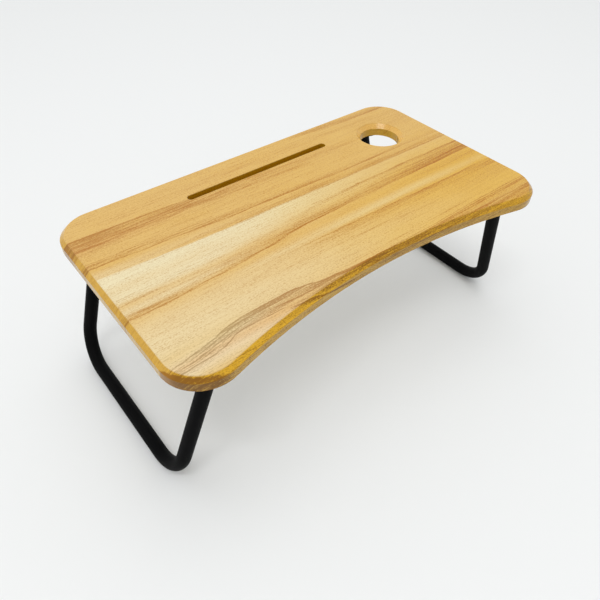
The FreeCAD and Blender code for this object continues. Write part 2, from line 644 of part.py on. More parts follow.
def leg_path(sketch, end):
    """Half of the leg's axis: from the middle of the foot bar, round one bend and up one post."""
    foot, lean, overhang = FOOT_CORNERS[end], OUTWARD_LEANS[end], "sizes.tube_overhang"
    radius = number("sizes.bend_radius")
    corner = spot(f"{end} * {foot}", "0")
    pivot = spot(f"{end} * worked.pivot_half", "worked.leg_reach")
    upward = (pivot - corner).normalize()
    spread = end * upward.x
    bend = radius * ((1 - spread) / (1 + spread)) ** 0.5
    before, after = corner - Vector(end * bend, 0, 0), corner + upward * bend
    centre = before + Vector(0, radius, 0)
    bar = line(sketch, Vector(), before)
    begin, finish = (before, after) if end > 0 else (after, before)
    elbow = arc(sketch, centre, begin, finish)
    lower, upper = (START, END) if end > 0 else (END, START)
    post = line(sketch, after, pivot + upward * number(overhang))
    guide = sketch.addGeometry(Part.Point(corner), True)
    meet(sketch, bar, START, ROOT, START)
    level(sketch, bar)
    touch(sketch, bar, END, elbow, lower)
    touch(sketch, elbow, upper, post, START)
    place(sketch, guide, START, f"{end} * {foot}", "0")
    sketch.addConstraint(Sketcher.Constraint("PointOnObject", guide, START, post))
    bind(sketch, "Radius", (elbow,), "sizes.bend_radius")
    place(sketch, post, END, f"{end} * (worked.pivot_half + {overhang} * sin({lean}))",
          f"worked.leg_reach + {overhang} * cos({lean})")


def make_leg(side_name, side):
    """One tube bent to a U, drilled across both upper ends for the pivot sleeves."""
    leg = new_body(f"{side_name}_leg")
    for end_name, end in ENDS.items():
        path = sketch_on(leg, f"{end_name}_path", "YZ_Plane")
        leg_path(path, end)
        section = sketch_on(leg, f"{end_name}_section", "XZ_Plane")
        circle(section, "worked.tube_radius")
        circle(section, "worked.bore_radius")
        half = leg.newObject("PartDesign::AdditivePipe", f"{side_name}_{end_name}_half")
        half.Profile = section
        half.Spine = path
        doc.recompute()
    cross = sketch_on(leg, "cross_hole", "XZ_Plane")
    circle(cross, "sizes.sleeve_diameter / 2 + sizes.seat_clearance", "0", "worked.leg_reach")
    feature(leg, "Pocket", cross, both_ways=True)
    splay = Rotation(Vector(0, -side, 0), number("sizes.splay_angle"))
    seat(leg, f"{side} * worked.foot_x", "worked.leg_y", "worked.tube_radius", splay)
    leg.setExpression("Placement.Rotation.Angle", "sizes.splay_angle")
    keep(f"{side_name}_leg_tube", leg)


def make_hinge(name, side, end):
    """Everything at one upper end of one leg."""
    make_bracket(name, side, end)
    make_screws(name, side, end)
    make_rivet(name, "pivot_rivet", side, end, "0", "0")
    make_rivet(name, "stop_rivet", side, end, "worked.stop_x", "worked.stop_drop")
    make_sleeve(name, side, end)
    make_washers(name, side, end)
    make_plug(name, side, end)


def check_and_write():
    """Stop at the first failed object; otherwise write one file for each node."""
    doc.recompute()
    for thing in doc.Objects:
        if {"Invalid", "Error"} & set(thing.State):
            raise RuntimeError(f"{thing.Label} failed: {thing.State}")
    for name, thing in nodes.items():
        if thing.Shape.isNull() or not thing.Shape.isValid():
            raise RuntimeError(f"{name} has no valid shape")
    os.makedirs("parts", exist_ok=True)
    for name, thing in nodes.items():
        thing.Shape.exportStep(f"parts/{name}.step")
        print(name, len(thing.Shape.Solids), "solids", round(thing.Shape.Volume), "mm3")


sizes = fill_sheet("sizes", SIZES)
worked = fill_sheet("worked", WORKED, "=")
make_core()
make_foil()
make_backing()
for side_name, side in SIDES.items():
    make_leg(side_name, side)
    for end_name, end in ENDS.items():
        make_hinge(f"{side_name}_{end_name}", side, end)
check_and_write()
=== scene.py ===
# %% [markdown]
# # A folding laptop table
#
# The table is a wood-grain board with a belly curve, a tablet groove and a cup hole, on two
# bent tube legs that fold flat under it. The packed model already has every shape and every
# joint at its real size. This lesson gives each piece its finish, makes the small pieces that
# a solid model leaves plain, and sets up a floor, a light and a camera to look at it.
#
# The first step is to load the packed model. It stays where it is for the whole lesson.

# %% Load the packed model
import math

import bpy
import numpy as np
from mathutils import Matrix, Vector


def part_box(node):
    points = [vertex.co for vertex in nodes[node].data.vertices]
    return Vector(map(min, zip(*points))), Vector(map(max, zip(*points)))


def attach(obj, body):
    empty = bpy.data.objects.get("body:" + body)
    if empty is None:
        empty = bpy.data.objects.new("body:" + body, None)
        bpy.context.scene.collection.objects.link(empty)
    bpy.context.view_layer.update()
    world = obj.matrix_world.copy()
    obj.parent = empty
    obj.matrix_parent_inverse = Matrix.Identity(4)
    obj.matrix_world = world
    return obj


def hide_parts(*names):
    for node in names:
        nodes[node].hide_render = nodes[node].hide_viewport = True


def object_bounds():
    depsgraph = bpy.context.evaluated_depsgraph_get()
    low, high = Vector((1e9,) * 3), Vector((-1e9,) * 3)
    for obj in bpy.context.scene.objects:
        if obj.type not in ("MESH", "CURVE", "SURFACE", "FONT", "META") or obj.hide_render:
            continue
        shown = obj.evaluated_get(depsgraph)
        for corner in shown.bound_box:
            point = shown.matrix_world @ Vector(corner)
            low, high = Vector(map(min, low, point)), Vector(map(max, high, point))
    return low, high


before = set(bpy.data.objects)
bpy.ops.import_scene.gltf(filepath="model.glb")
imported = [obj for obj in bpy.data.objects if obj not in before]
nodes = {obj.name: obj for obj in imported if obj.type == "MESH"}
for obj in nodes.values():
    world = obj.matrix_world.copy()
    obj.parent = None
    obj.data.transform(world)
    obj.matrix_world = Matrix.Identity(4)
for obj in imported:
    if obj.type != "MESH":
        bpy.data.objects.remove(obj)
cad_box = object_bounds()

MM = 0.001

# %% [markdown]
# ## The camera
#
# The table is seen from the front left and from above, with the board's near corner low in
# the picture. A camera can be turned by hand until the picture looks right. These numbers were
# worked out instead: four corners of a board of known size fix where the eye is, which way it looks
# and how wide it sees. The eye, the point that it looks at, a slight roll and the focal length
# are all that is needed, and a small function turns them into the camera's own matrix. Lengths
# are metres, apart from the lens and its sensor, which are in millimetres as on a real camera.

# %% Place the camera
EYE = Vector((-0.41980, -0.48415, 0.68586))
LOOK_AT = Vector((-0.05033, -0.04136, 0.12000))
ROLL = math.radians(1.5)
FOCAL_LENGTH = 34.076
SENSOR = 36.0
NEAREST, FARTHEST = 0.01, 100.0


def camera_matrix(eye, look_at, roll):
    """Rotation from the line of sight, then a turn about that line, then the eye's place."""
    sight = (look_at - eye).to_track_quat("-Z", "Y").to_matrix().to_4x4()
    return Matrix.Translation(eye) @ sight @ Matrix.Rotation(roll, 4, "Z")


scene = bpy.context.scene
lens = bpy.data.cameras.new("viewpoint")
lens.sensor_width = SENSOR
lens.lens = FOCAL_LENGTH
lens.clip_start, lens.clip_end = NEAREST, FARTHEST
viewpoint = bpy.data.objects.new("viewpoint", lens)
viewpoint.matrix_world = camera_matrix(EYE, LOOK_AT, ROLL)
scene.collection.objects.link(viewpoint)
scene.camera = viewpoint
scene.view_settings.view_transform = "Standard"
print("camera at", [round(c, 3) for c in EYE], "with a", FOCAL_LENGTH, "mm lens")

# %% [markdown]
# ## A few words for building materials
#
# Every finish here is a small network of shader nodes, and most of it is arithmetic. Writing
# it with bare node calls would hide the idea behind the wiring, so a few short functions stand
# for the words that the finishes are written in: a node, a sum, a range, a curve through given
# points, a mix of two colours and a noise that can be stretched along one axis. A noise has few
# values near 0 and 1, so three named spans say how much of its middle a finish makes use of.

# %% Functions that add nodes
COLOUR_FACTOR, COLOUR_A, COLOUR_B, COLOUR_RESULT = 0, 6, 7, 2
NARROW, MEDIUM, WIDE = (0.3, 0.7), (0.25, 0.75), (0.2, 0.8)


class Recipe:
    """One material and the words to build it with. Each word adds a node and returns its output."""

    def __init__(self, name):
        self.material = bpy.data.materials.new(name)
        self.material.use_nodes = True
        self.tree = self.material.node_tree
        self.shader = self.tree.nodes["Principled BSDF"]

    def node(self, kind, inputs, output=0, **settings):
        """A node of a kind, with its settings, and its inputs set to values or joined to outputs."""
        made = self.tree.nodes.new(f"ShaderNode{kind}")
        for name, value in settings.items():
            setattr(made, name, value)
        for name, value in inputs.items():
            if isinstance(value, bpy.types.NodeSocket):
                self.tree.links.new(value, made.inputs[name])
            else:
                made.inputs[name].default_value = value
        return made.outputs[output]

    def sum(self, operation, *values):
        """Arithmetic on one, two or three numbers."""
        return self.node("Math", dict(enumerate(values)), operation=operation)

    def ramp(self, value, start, end, low=0.0, high=1.0):
        """A smooth step: low up to start, high from end on."""
        inputs = {"Value": value, "From Min": start, "From Max": end, "To Min": low, "To Max": high}
        return self.node("MapRange", inputs, interpolation_type="SMOOTHSTEP")

    def scaled(self, value, start, end, low=0.0, high=1.0):
        """A straight-line change of range, held at both ends."""
        inputs = {"Value": value, "From Min": start, "From Max": end, "To Min": low, "To Max": high}
        return self.node("MapRange", inputs)

    def curve(self, share, points, low, high):
        """A smooth line through points, each a share from 0 to 1 and a value from low to high."""
        made = self.tree.nodes.new("ShaderNodeFloatCurve")
        self.tree.links.new(share, made.inputs["Value"])
        line = made.mapping.curves[0]
        heights = [(x, (y - low) / (high - low)) for x, y in points]
        for point, place in zip((line.points[0], line.points[1]), (heights[0], heights[-1])):
            point.location = place
        for place in heights[1:-1]:
            line.points.new(*place)
        for point in line.points:
            point.handle_type = "AUTO_CLAMPED"
        made.mapping.extend = "HORIZONTAL"
        made.mapping.update()
        return self.scaled(made.outputs[0], 0.0, 1.0, low, high)

    def mix(self, share, a, b, blend="MIX"):
        """Colour a, going over to colour b as the share goes to 1."""
        inputs = {COLOUR_FACTOR: share, COLOUR_A: a, COLOUR_B: b}
        return self.node("Mix", inputs, COLOUR_RESULT, data_type="RGBA", blend_type=blend)

    def noise(self, place, size, detail=3.0, rough=0.55):
        """Cloudy noise, about 0.5 on average, whose cells are as large as the given size in metres."""
        stretched = self.node("Mapping", {"Vector": place, "Scale": [1.0 / s for s in size]})
        inputs = {"Vector": stretched, "Scale": 1.0, "Detail": detail, "Roughness": rough}
        return self.node("TexNoise", inputs)

    def bump(self, height, depth, strength=1.0):
        """Fine relief of a depth in metres, joined to the shader's normal."""
        inputs = {"Height": height, "Distance": depth, "Strength": strength}
        self.finish(Normal=self.node("Bump", inputs))

    def finish(self, **sockets):
        """Set the shader's own sockets: a plain value where it is the same all over."""
        for name, value in sockets.items():
            socket = self.shader.inputs[name.replace("_", " ")]
            if isinstance(value, bpy.types.NodeSocket):
                self.tree.links.new(value, socket)
            else:
                socket.default_value = value

    def place(self):
        """Where a point is on the piece, in metres."""
        return self.node("TexCoord", {}, "Object")

    def facing(self):
        """Which way the face looks at a point, as a direction on the piece."""
        return self.node("TexCoord", {}, "Normal")

    def apart(self, vector):
        """The three numbers of a vector."""
        made = self.tree.nodes.new("ShaderNodeSeparateXYZ")
        self.tree.links.new(vector, made.inputs[0])
        return made.outputs

    def together(self, x, y, z):
        """A vector from three numbers."""
        return self.node("CombineXYZ", {"X": x, "Y": y, "Z": z})


words = [word for word in vars(Recipe) if not word.startswith("_")]
print(len(words), "words:", ", ".join(words))

# %% [markdown]
# A finish goes on its pieces by name. The packed pieces come with a plain colour, which is taken off
# first. Each finish below ends with this call, which also says how many pieces it is on.

# %% Put a finish on


def paint(recipe, *names):
    """Put a finish on packed pieces, in place of the plain colour that they came with."""
    for name in names:
        slots = nodes[name].data.materials
        slots.clear()
        slots.append(recipe.material)
    print(recipe.material.name, "on", len(names), "pieces")


print(len(nodes), "pieces wait for a finish")

# %% [markdown]
# ## The wood-grain film
#
# The board is fibreboard under a printed film. The print shows one wide board of light timber:
# golden at the back, a cream sapwood band along the middle, brown streaks that run the whole
# length and a fine-lined flame at the front left. A picture could be laid on the board, but a
# picture has one resolution and belongs to somebody. A wave texture gives rings all over, but
# not these streaks. So each streak is written down as a maker would sketch it on paper: a line
# through a few points, how far its colour reaches behind and in front of that line, and how
# strong it is along its length.
#
# Lengths in the tables are millimetres from the board's middle, x to the right and y to the back.
# The first lines here are the edges that more than one streak follows.

# %% Lines that several streaks follow
BOARD_X, BOARD_Y = (-300.0, 300.0), (-175.0, 175.0)
RUST_EDGE = [(-300, 117), (-200, 114), (-120, 110), (60, 103)]
MIDDLE = [(-300, 55), (-260, 53), (-220, 50), (-135, 45), (-85, 42.5), (0, 40), (140, 37), (300, 35)]
SAP_EDGE = [(-300, 31), (-220, 27), (-150, 24), (-80, 22.5), (0, 22), (150, 20), (300, 18)]
LONG = [(-300, -48), (-252, -49.5), (-215, -46.5), (-170, -44), (-100, -38), (-40, -31), (10, -29),
        (300, -28)]
FRONT = [(-220, -62), (-50, -63.5), (30, -64.5), (140, -67.5), (300, -69.5)]
FLAME = [(-300, -136), (-268, -131.5), (-238, -126), (-216, -119.5), (-183, -116.5), (-142, -116.5),
         (-112, -119), (-88, -125), (-40, -129.5), (20, -132), (60, -134)]
sketched = (RUST_EDGE, MIDDLE, SAP_EDGE, LONG, FRONT, FLAME)
print(len(sketched), "lines sketched, the longest through", max(map(len, sketched)), "points")

# %% [markdown]
# The brown streaks come in three groups: those of the golden back half, those of the pale middle,
# and those of the front with its flame. A long reach on one side only gives the look of a growth
# ring, which is sharp towards the bark and soft towards the heart. Each row is the line, its reach
# behind, its reach in front, and its strength from 0 to 1 at some places along the board. The back
# half has the rust band in front of the groove and the lines that close the golden wood.

# %% Brown streaks of the back half
BACK_STREAKS = [
    # the shade along the back edge
    ([(-300, 172), (60, 161), (150, 152), (250, 149), (300, 148)], 16, 3,
     [(-300, 0), (60, 0.05), (130, 0.4), (240, 0.42), (300, 0.3)]),
    ([(-300, 130), (-120, 134), (60, 138), (300, 132)], 10, 14,
     [(-300, 0.02), (-80, 0.12), (80, 0.16), (300, 0.10)]),
    # painted shade at the right back, darkening where the lamps light it more
    ([(160, 112), (300, 112)], 30, 34,
     [(160, 0), (230, 0.12), (300, 0.18)]),
    # the rust band in front of the groove, and the lines in it
    (RUST_EDGE, 2.0, 42,
     [(-300, 0.74), (-200, 0.56), (-90, 0.40), (20, 0.19), (170, 0.04)]),
    (RUST_EDGE, 1.4, 3,
     [(-300, 0.40), (-200, 0.30), (-130, 0.10), (-60, 0)]),
    ([(-300, 100), (-200, 97), (-120, 98)], 1.4, 1.6,
     [(-300, 0.22), (-220, 0.26), (-140, 0.10), (-110, 0)]),
    ([(-300, 92), (-250, 90), (-200, 88), (-135, 92), (-85, 89), (10, 86), (140, 84)], 8, 3,
     [(-300, 0.36), (-200, 0.30), (-120, 0.40), (-80, 0.30), (10, 0.20), (140, 0)]),
    ([(-300, 84), (-220, 82), (-130, 80), (0, 78)], 4, 5,
     [(-300, 0.18), (-200, 0.14), (-60, 0.06), (0, 0)]),
    ([(-300, 74), (-200, 71), (-80, 68), (40, 64)], 2.0, 9,
     [(-300, 0.10), (-180, 0.14), (-60, 0.16), (40, 0.04)]),
    ([(-40, 100), (60, 96), (150, 91), (300, 90)], 7, 6,
     [(-40, 0.02), (30, 0.20), (120, 0.18), (190, 0.03), (300, 0.05)]),
    # the lines that close the golden half
    ([(-300, 65), (-240, 62), (-160, 56), (-80, 51)], 1.5, 1.5,
     [(-300, 0.42), (-220, 0.40), (-120, 0.20), (-80, 0)]),
    ([(-300, 60), (-240, 57.5), (-160, 51), (-80, 47)], 3.5, 1.6,
     [(-300, 0.44), (-220, 0.42), (-120, 0.26), (-40, 0.06)]),
    (MIDDLE, 11, 2,
     [(-300, 0.34), (-220, 0.32), (-85, 0.44), (0, 0.36), (140, 0.24), (300, 0.18)]),
    (MIDDLE, 2.2, 1.4,
     [(-300, 0.44), (-220, 0.40), (-150, 0.26), (-85, 0.34), (20, 0.42), (120, 0.32), (300, 0.28)]),
]
print(len(BACK_STREAKS), "streaks at the back")

# %% [markdown]
# The middle is pale sapwood. It has one streak that runs from end to end, an amber wedge that opens
# to the right, and a few faint lines and flecks.

# %% Brown streaks of the pale middle
MIDDLE_STREAKS = [
    # the amber wedge behind the sapwood, and the line that starts in it
    (SAP_EDGE, 17, 1.2,
     [(-300, 0.02), (-190, 0.10), (-120, 0.26), (-20, 0.40), (150, 0.44), (300, 0.40)]),
    ([(-60, -10), (0, -5.5), (60, -2.5), (140, -1), (300, -3)], 1.6, 5,
     [(-60, 0), (10, 0.26), (60, 0.38), (150, 0.40), (250, 0.46), (300, 0.62)]),
    # the long streak from end to end
    (LONG, 18, 2.4,
     [(-300, 0.22), (-240, 0.20), (-190, 0.16), (-100, 0.30), (0, 0.34), (60, 0.22), (120, 0.20),
      (210, 0.36), (300, 0.46)]),
    (LONG, 2.6, 1.6,
     [(-300, 0.50), (-252, 0.64), (-210, 0.46), (-100, 0.44), (0, 0.46), (50, 0.26), (120, 0.14),
      (210, 0.34), (300, 0.40)]),
    ([(-300, -42), (-250, -43), (-200, -40), (-130, -36)], 1.3, 1.6,
     [(-300, 0.10), (-240, 0.12), (-170, 0.06), (-130, 0)]),
    ([(-300, -31), (-240, -32), (-150, -31), (-60, -26), (40, -23), (120, -25), (300, -20)], 5, 6,
     [(-300, 0.08), (-245, 0.14), (-150, 0.10), (-40, 0.08), (60, 0.22), (180, 0.18), (300, 0.24)]),
    ([(-300, -40), (-255, -44), (-215, -42), (-120, -36)], 6, 4,
     [(-300, 0.05), (-252, 0.30), (-215, 0.06), (-120, 0)]),
    # a short fleck at the left end, and the amber right end
    ([(-300, -22), (-262, -22.5), (-235, -22), (-200, -21)], 4.5, 4.0,
     [(-300, 0.06), (-262, 0.26), (-245, 0.20), (-230, 0)]),
    ([(60, -16), (160, -14), (300, -12)], 16, 24,
     [(60, 0.06), (150, 0.26), (230, 0.40), (300, 0.44)]),
]
print(len(MIDDLE_STREAKS), "streaks in the middle")

# %% [markdown]
# At the front the saw has met the heart of the tree, and its rings show as a flame: a rounded outline
# with fine lines in it. Its strokes run on over the bevel, which is why some lie beyond the top's edge.

# %% Brown streaks of the front
FRONT_STREAKS = [
    # the soft streak of the front half, and the shade at its right end
    (FRONT, 1.6, 22,
     [(-220, 0.02), (-80, 0.12), (30, 0.36), (140, 0.36), (300, 0.34)]),
    (FRONT, 1.2, 3,
     [(-220, 0.04), (-60, 0.14), (20, 0.28), (140, 0.24), (300, 0.20)]),
    ([(-300, -84), (-215, -88), (-130, -86), (20, -90), (120, -97), (300, -99)], 3, 4,
     [(-300, 0.05), (-215, 0.14), (-150, 0.05), (20, 0.20), (110, 0.18), (180, 0.02), (300, 0.06)]),
    ([(160, -98), (300, -92)], 26, 26,
     [(160, 0), (250, 0.16), (300, 0.26)]),
    ([(100, -40), (300, -40)], 8, 12,
     [(100, 0), (180, 0.18), (300, 0.32)]),
    # the flame: the shade under it, its outline and the fine lines in it
    (FLAME, 1.6, 25,
     [(-300, 0.14), (-240, 0.40), (-200, 0.66), (-160, 0.68), (-90, 0.60), (0, 0.45), (60, 0.30)]),
    (FLAME, 1.1, 1.8,
     [(-300, 0.36), (-240, 0.76), (-200, 0.70), (-140, 0.72), (-60, 0.56), (60, 0.30)]),
    ([(-300, -142), (-258, -138), (-231, -132.5), (-205, -127), (-175, -126), (-142, -129),
      (-110, -131)], 1.0, 1.4,
     [(-300, 0.66), (-230, 1.0), (-170, 0.80), (-120, 0.44)]),
    ([(-300, -139), (-262, -134.5), (-235, -129), (-210, -123), (-180, -121), (-130, -123)], 1.0, 1.2,
     [(-300, 0.54), (-235, 0.88), (-180, 0.64), (-130, 0.20)]),
    ([(-300, -147), (-279, -145), (-248, -144), (-227, -140), (-214, -134.5), (-196, -133),
      (-158, -134), (-133, -137)], 1.2, 1.4,
     [(-300, 0.80), (-240, 1.0), (-200, 0.84), (-133, 0.46)]),
    ([(-300, -144), (-262, -141.5), (-236, -137), (-214, -131)], 1.0, 1.0,
     [(-300, 0.48), (-240, 0.76), (-214, 0.22)]),
    # the flame's foot over the near corner, a dark core and a wide shade: partly the print, partly painted
    # shade of the corner
    ([(-300, -126), (-290, -146), (-276, -160), (-262, -168), (-250, -176)], 5, 38,
     [(-300, 0.70), (-292, 1.0), (-266, 1.0), (-254, 0.50), (-240, 0)]),
    ([(-300, -128), (-290, -147), (-276, -161), (-262, -170), (-230, -174)], 4, 60,
     [(-300, 0.50), (-290, 0.60), (-262, 0.50), (-246, 0.24), (-222, 0)]),
    # the dark strokes that cross the bevel, and the brown front
    ([(-160, -139), (-138, -140), (-114, -142), (-98, -145), (-80, -148.5), (-40, -150)], 2.2, 5.0,
     [(-150, 0), (-134, 0.8), (-118, 1.0), (-90, 1.0), (-60, 0.7), (-40, 0)]),
    ([(-70, -131), (-30, -132), (10, -134)], 1.4, 3.0,
     [(-70, 0), (-40, 0.80), (-10, 0.90), (20, 0)]),
    ([(-60, -134), (60, -135), (140, -142), (200, -146), (300, -148)], 1.6, 60,
     [(-60, 0), (0, 0.22), (60, 0.40), (150, 0.48), (300, 0.46)]),
]
BROWN_STREAKS = BACK_STREAKS + MIDDLE_STREAKS + FRONT_STREAKS
print(len(FRONT_STREAKS), "streaks at the front,", len(BROWN_STREAKS), "in all")

# %% [markdown]
# The cream of the sapwood is written in the same way. It is palest at the left end and goes over to
# gold towards the right. A blush, which is a little pinker than cream, fills the heart of the flame
# and the left end of the rust band.

# %% The cream and the blush
CREAM_BANDS = [
    # the sapwood along the middle
    (SAP_EDGE, 3.5, 62,
     [(-300, 0.40), (-250, 0.55), (-190, 0.92), (-150, 0.96), (-20, 0.72), (60, 0.46), (140, 0.24),
      (300, 0.08)]),
    ([(-300, 24), (-220, 20), (-150, 18)], 20, 50,
     [(-300, 0.70), (-250, 0.50), (-190, 0.08), (-170, 0)]),
    ([(-300, -36), (-220, -36), (-150, -34)], 16, 12,
     [(-300, 0.62), (-220, 0.56), (-150, 0.30), (-90, 0)]),
    ([(-300, -14), (-220, -16), (-130, -12), (-40, -6)], 24, 15,
     [(-300, 0.66), (-200, 0.56), (-120, 0.24), (-40, 0)]),
    ([(-300, 40), (-150, 34), (0, 30)], 12, 10,
     [(-300, 0.30), (-180, 0.16), (0, 0)]),
    # the sapwood in front of the long streak
    ([(-300, -62), (-200, -62), (-100, -60), (0, -64)], 11, 26,
     [(-300, 0.20), (-200, 0.22), (-100, 0.24), (-30, 0.06), (20, 0)]),
    ([(-300, -96), (-150, -98), (0, -104), (200, -115)], 52, 62,
     [(-300, 0.72), (-180, 0.56), (-60, 0.38), (40, 0.22), (200, 0.06)]),
    ([(-220, -52), (0, -56), (150, -57), (300, -60)], 14, 9,
     [(-220, 0.16), (-60, 0.24), (40, 0.44), (130, 0.40), (220, 0.26), (300, 0.14)]),
    # the pale wood in the flame and in front of it
    ([(-300, -137), (-230, -133), (-170, -128), (-140, -128)], 16, 26,
     [(-300, 0.42), (-210, 0.34), (-160, 0.10), (-140, 0)]),
    ([(-300, -152), (-220, -150), (-150, -150), (-60, -150)], 14, 20,
     [(-300, 0.62), (-200, 0.62), (-100, 0.3), (-60, 0.1)]),
]
BLUSH_BANDS = [
    ([(-300, -142), (-220, -140), (-140, -140)], 18, 26,
     [(-300, 0.8), (-200, 0.9), (-130, 0.4), (-80, 0)]),
    ([(-300, 96), (-220, 94), (-120, 92)], 16, 16,
     [(-300, 0.5), (-200, 0.35), (-120, 0)]),
]
print(len(CREAM_BANDS), "cream bands and", len(BLUSH_BANDS), "with a blush")

# %% [markdown]
# A streak's shade falls off on both sides of its line. Measured across the grain, the distance
# from the line goes through two smooth steps, one for each side, and their product is the
# shade. A short reach gives the hard edge of a growth ring and a long one gives a soft band.

# %% A streak as nodes


def board_share(points):
    """Points along the board, with x as a share of its length."""
    return [((x - BOARD_X[0]) / (BOARD_X[1] - BOARD_X[0]), value) for x, value in points]


def streaks(recipe, along, across, table):
    """The sum of all the streaks of a table at a point along and across the board, in millimetres."""
    share = recipe.scaled(along, *BOARD_X)
    total = 0.0
    for line, behind, before, strength in table:
        distance = recipe.sum("SUBTRACT", across, recipe.curve(share, board_share(line), *BOARD_Y))
        back_side = recipe.ramp(distance, 0.0, behind, 1.0, 0.0)
        front_side = recipe.ramp(distance, -before, 0.0)
        shade = recipe.sum("MULTIPLY", back_side, front_side)
        strong = recipe.curve(share, board_share(strength), 0.0, 1.0)
        total = recipe.sum("MULTIPLY_ADD", shade, strong, total)
    return total


print(len(BROWN_STREAKS) + len(CREAM_BANDS) + len(BLUSH_BANDS), "streaks and bands to draw")

# %% [markdown]
# The film is one sheet that is drawn down over the bevel and the edges, so the print has to run
# on there: below the top face, the distance across the grain grows by how far the point has
# dropped, on the faces that look to the front or the back. A slow noise then sways the whole print
# and a quicker one wavers each line, because no tree grows by ruler. Sizes of noises are in metres,
# along the grain, across it and upwards.

# %% Where a point lies on the print
TOP = cad_box[1].z
SWAY_SIZE, SWAY_REACH = (0.16, 0.035, 1.0), 5.0
WAVER_SIZE, WAVER_REACH = (0.026, 0.005, 1.0), 3.0
AVERAGE = 0.5

film = Recipe("wood_grain_film")
x, y, z = film.apart(film.place())
face_x, face_y, face_z = film.apart(film.facing())
drop = film.sum("SUBTRACT", TOP, z)
unrolled = film.sum("MULTIPLY_ADD", face_y, drop, y)
flat = film.together(x, unrolled, 0.0)

sway = film.sum("SUBTRACT", film.noise(flat, SWAY_SIZE, detail=2.0), AVERAGE)
waver = film.sum("SUBTRACT", film.noise(flat, WAVER_SIZE, detail=3.0), AVERAGE)
along = film.sum("MULTIPLY", x, 1.0 / MM)
across = film.sum("MULTIPLY", unrolled, 1.0 / MM)
across = film.sum("MULTIPLY_ADD", sway, SWAY_REACH, across)
across = film.sum("MULTIPLY_ADD", waver, WAVER_REACH, across)

# %% [markdown]
# Timber has detail at every size. Here it is four noises that are stretched along the grain: rings
# a hand long, fibres, hairs, and the short pores that give the print its stipple. Rings and fibres
# also make each streak stronger and weaker along its way. Everything is added to the brown, so that
# fine and coarse detail share one colour, as ink on paper does. Fibres and hairs are boldest in the
# left half of the board. A fifth noise, a slow cloud, is for the colour under the ink and the gloss.

# %% Rings, fibres, hairs and pores
RING_SIZE, FIBRE_SIZE = (0.260, 0.0046, 1.0), (0.060, 0.0019, 1.0)
HAIR_SIZE, PORE_SIZE = (0.010, 0.0009, 1.0), (0.0027, 0.0012, 1.0)
CLOUD_SIZE = (0.120, 0.030, 1.0)
RING_IN_STREAK, FIBRE_IN_STREAK = (0.72, 1.34), (0.60, 1.44)
RING_INK, FIBRE_INK, HAIR_INK, PORE_INK = (-0.07, 0.10), (-0.40, 0.44), (-0.24, 0.26), (-0.66, 0.70)
BOLD_LEFT_OF, FAINT_RIGHT_OF, FAINT = -0.05, 0.22, 0.55

grain = film.together(x, film.sum("MULTIPLY", across, MM), 0.0)
ring = film.noise(grain, RING_SIZE, detail=3.0, rough=0.6)
fibre = film.noise(grain, FIBRE_SIZE, detail=4.0, rough=0.65)
hair = film.noise(grain, HAIR_SIZE, detail=3.0, rough=0.6)
pore = film.noise(grain, PORE_SIZE, detail=2.0, rough=0.75)
cloud = film.noise(flat, CLOUD_SIZE, detail=3.0)

brown = streaks(film, along, across, BROWN_STREAKS)
brown = film.sum("MULTIPLY", brown, film.scaled(ring, *NARROW, *RING_IN_STREAK))
brown = film.sum("MULTIPLY", brown, film.scaled(fibre, *NARROW, *FIBRE_IN_STREAK))
lines = film.sum("ADD", film.scaled(fibre, *MEDIUM, *FIBRE_INK), film.scaled(hair, *MEDIUM, *HAIR_INK))
lines = film.sum("MULTIPLY", lines, film.scaled(x, BOLD_LEFT_OF, FAINT_RIGHT_OF, 1.0, FAINT))
lines = film.sum("ADD", lines, film.scaled(ring, *NARROW, *RING_INK))
stipple = film.scaled(pore, *MEDIUM, *PORE_INK)
print(len(film.tree.nodes), "nodes so far")

# %% [markdown]
# The colours are few. Gold goes over to honey at the front right, cream lies over both, and a blush
# over the cream. A warm tint then keeps the left end paler than the right, partly the print's own tone
# and partly a painted sheen. The brown is a tint that multiplies what is under it: redder at the left end,
# yellower at the right, and greyer in the flame, most of all at its foot. A pair of places, in
# metres along or across the board, is where one colour ends and where the next is reached.

# %% The colours of the top
GOLDEN = (0.715, 0.458, 0.140, 1.0)
HONEY = (0.715, 0.430, 0.060, 1.0)
CREAM = (0.800, 0.695, 0.440, 1.0)
BLUSH_TINT = (0.98, 0.88, 0.88, 1.0)
PAINTED_SHEEN_WARM_TINT = (1.0, 0.985, 0.84, 1.0)
RUST_TINT = (0.63, 0.43, 0.23, 1.0)
BROWN_TINT = (0.58, 0.33, 0.03, 1.0)
FLAME_TINT = (0.57, 0.41, 0.28, 1.0)
FLAME_FOOT_TINT = (0.58, 0.52, 0.42, 1.0)
TO_HONEY_X, TO_HONEY_Y, HONEY_CLOUD = (-0.10, 0.32), (0.05, -0.03), (-0.2, 0.2)
TO_WARM_OUT_OF_SHEEN, RUST_TO_BROWN = (-0.16, 0.06), (-0.26, 0.06)
TO_FLAME_X, TO_FLAME_Y, TO_FLAME_FOOT = (0.0, -0.10), (-0.10, -0.12), (-0.13, -0.25)

honey = film.sum("MULTIPLY", film.ramp(x, *TO_HONEY_X), film.ramp(y, *TO_HONEY_Y))
honey = film.sum("ADD", honey, film.scaled(cloud, *NARROW, *HONEY_CLOUD))
cream = streaks(film, along, across, CREAM_BANDS)
blush = streaks(film, along, across, BLUSH_BANDS)
ground = film.mix(cream, film.mix(honey, GOLDEN, HONEY), CREAM)
ground = film.mix(blush, ground, BLUSH_TINT, "MULTIPLY")
# the right end is warmed so the left end stays paler: partly the print's own tone, partly painted sheen
ground = film.mix(film.ramp(x, *TO_WARM_OUT_OF_SHEEN), ground, PAINTED_SHEEN_WARM_TINT, "MULTIPLY")

